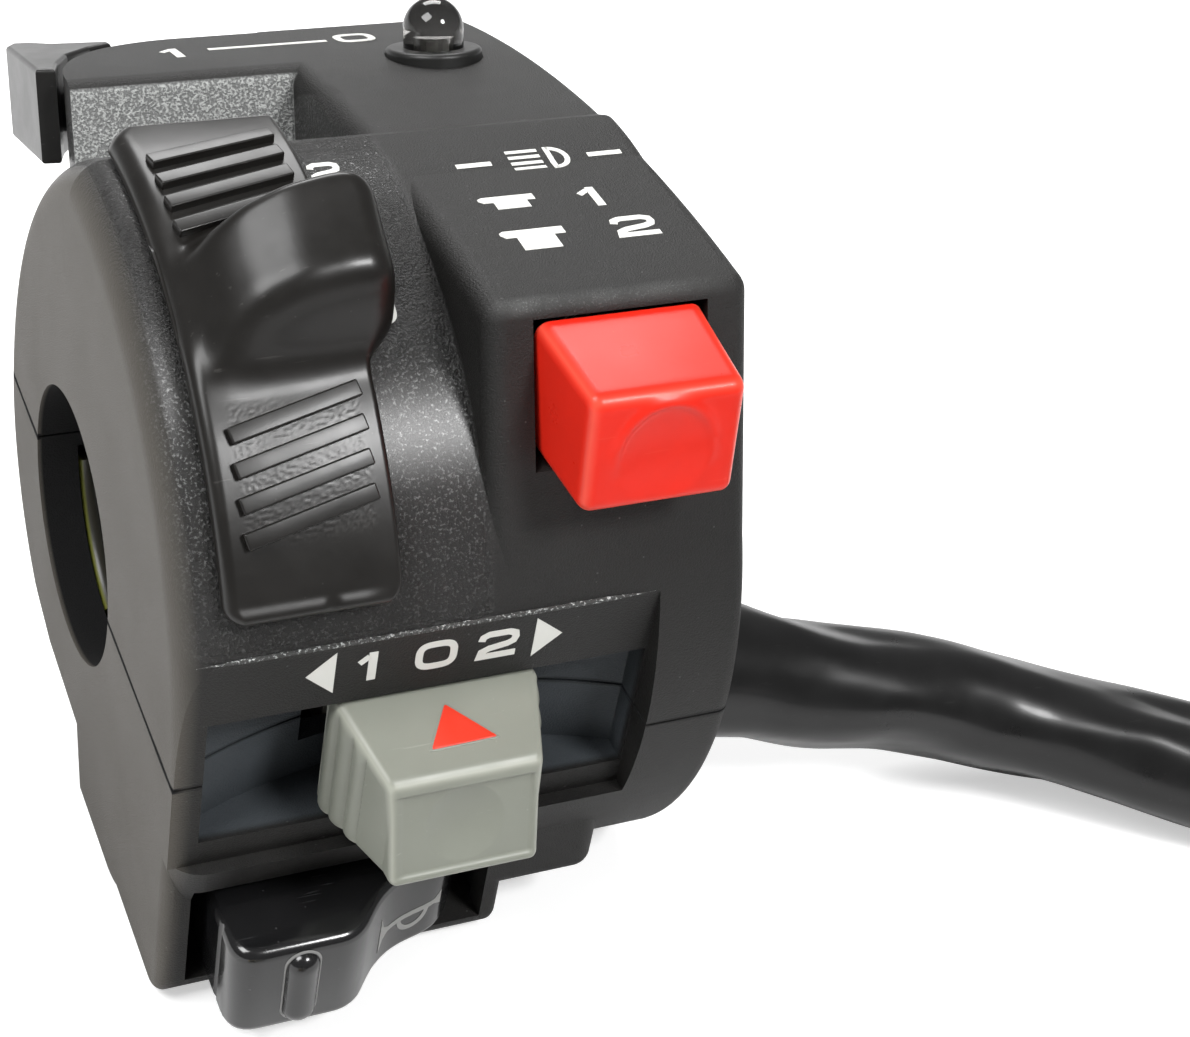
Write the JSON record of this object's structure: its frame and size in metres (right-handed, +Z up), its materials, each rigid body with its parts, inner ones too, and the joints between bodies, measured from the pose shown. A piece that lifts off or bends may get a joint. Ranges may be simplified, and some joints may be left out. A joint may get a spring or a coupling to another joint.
{
  "type": "handlebar switch cluster",
  "caption": "Left handlebar switch housing: kill lever, rotary light lever, lamp, red beam push button, grey turn slide, horn lever and sleeved cable",
  "frame": {"origin": "Handlebar bore axis at the housing's left end face, which is the grip side", "axes": "+X along the handlebar away from the grip, -Y toward the rider, +Z up and square to the parting plane of the two halves"},
  "size_m": [0.1385, 0.1835, 0.0632],
  "materials": {
    "housing_black": "fine spark texture",
    "lever_black": "semi-gloss",
    "horn_black": "glossy with fine scratches",
    "red_button": "glossy",
    "grey_button": "satin with worn rims",
    "arrow_red": "satin",
    "inner_plastic": "moulded insulator",
    "contact_brass": "bright",
    "spring_steel": "drawn wire",
    "screw_steel": "zinc plated",
    "lens_smoke": "smoky, polished",
    "bulb_glass": "clear",
    "sleeve_black": "glossy, wrinkled",
    "wire_yellow": "yellow-green insulation",
    "plug_white": "natural"
  },
  "bodies": {
    "housing": {"upper_housing": "housing_black", "lower_housing": "housing_black", "light_base": "inner_plastic", "light_contacts": "contact_brass", "dimmer_body": "inner_plastic", "dimmer_contacts": "contact_brass", "turn_base": "inner_plastic", "turn_contacts": "contact_brass", "horn_pin": "screw_steel", "horn_base": "inner_plastic", "horn_contact_fixed": "contact_brass", "kill_base": "inner_plastic", "kill_contacts": "contact_brass", "kill_pin": "screw_steel", "lamp_bezel": "horn_black", "lamp_lens": "lens_smoke", "lamp_bulb": "bulb_glass", "clamp_screws": "screw_steel", "signal_wire": "wire_yellow", "sleeve_gland": "sleeve_black", "cable_sleeve": "sleeve_black", "harness_connector": "plug_white", "dimmer_spring": "spring_steel"},
    "light_switch": {"light_lever": "lever_black", "light_rotor": "inner_plastic", "light_brush": "contact_brass", "light_detent_ball": "screw_steel", "light_detent_spring": "spring_steel"},
    "turn_slider": {"turn_carriage": "inner_plastic", "turn_brush": "contact_brass", "turn_detent_ball": "screw_steel", "turn_detent_spring": "spring_steel", "turn_push_spring": "spring_steel"},
    "turn_pusher": {"turn_button": "grey_button", "turn_button_arrow": "arrow_red"},
    "dimmer_pusher": {"dimmer_button": "red_button", "dimmer_plunger": "inner_plastic"},
    "horn_switch": {"horn_lever": "horn_black", "horn_contact_moving": "contact_brass", "horn_spring": "spring_steel"},
    "kill_switch": {"kill_lever": "lever_black", "kill_brush": "contact_brass", "kill_detent_ball": "screw_steel", "kill_detent_spring": "spring_steel"}
  },
  "joints": [
    {"name": "light_turn", "type": "hinge", "parent": "housing", "child": "light_switch", "pos_m": [0.0093, 0, 0], "axis": [-1, 0, 0], "range_deg": [0, 22]},
    {"name": "turn_slide", "type": "slide", "parent": "housing", "child": "turn_slider", "axis": [1, 0, 0], "range_m": [-0.005, 0.005]},
    {"name": "turn_push", "type": "slide", "parent": "turn_slider", "child": "turn_pusher", "axis": [0, 1, 0], "range_m": [0, 0.0012], "stiffness_N_per_m": 900, "springref_m": -0.0012, "deforming": ["turn_push_spring"]},
    {"name": "dimmer_push", "type": "slide", "parent": "housing", "child": "dimmer_pusher", "axis": [0, 1, 0], "range_m": [0, 0.0025], "stiffness_N_per_m": 600, "springref_m": -0.002, "deforming": ["dimmer_spring"]},
    {"name": "horn_press", "type": "hinge", "parent": "housing", "child": "horn_switch", "pos_m": [0.0236, -0.022, -0.0172], "axis": [0, 0, -1], "range_deg": [0, 7], "stiffness_Nm_per_rad": 0.12, "springref_deg": -5.73},
    {"name": "kill_turn", "type": "hinge", "parent": "housing", "child": "kill_switch", "pos_m": [0.0145, 0.02354, 0.01422], "axis": [0, -0.3746, -0.9272], "range_deg": [0, 30]}
  ]
}
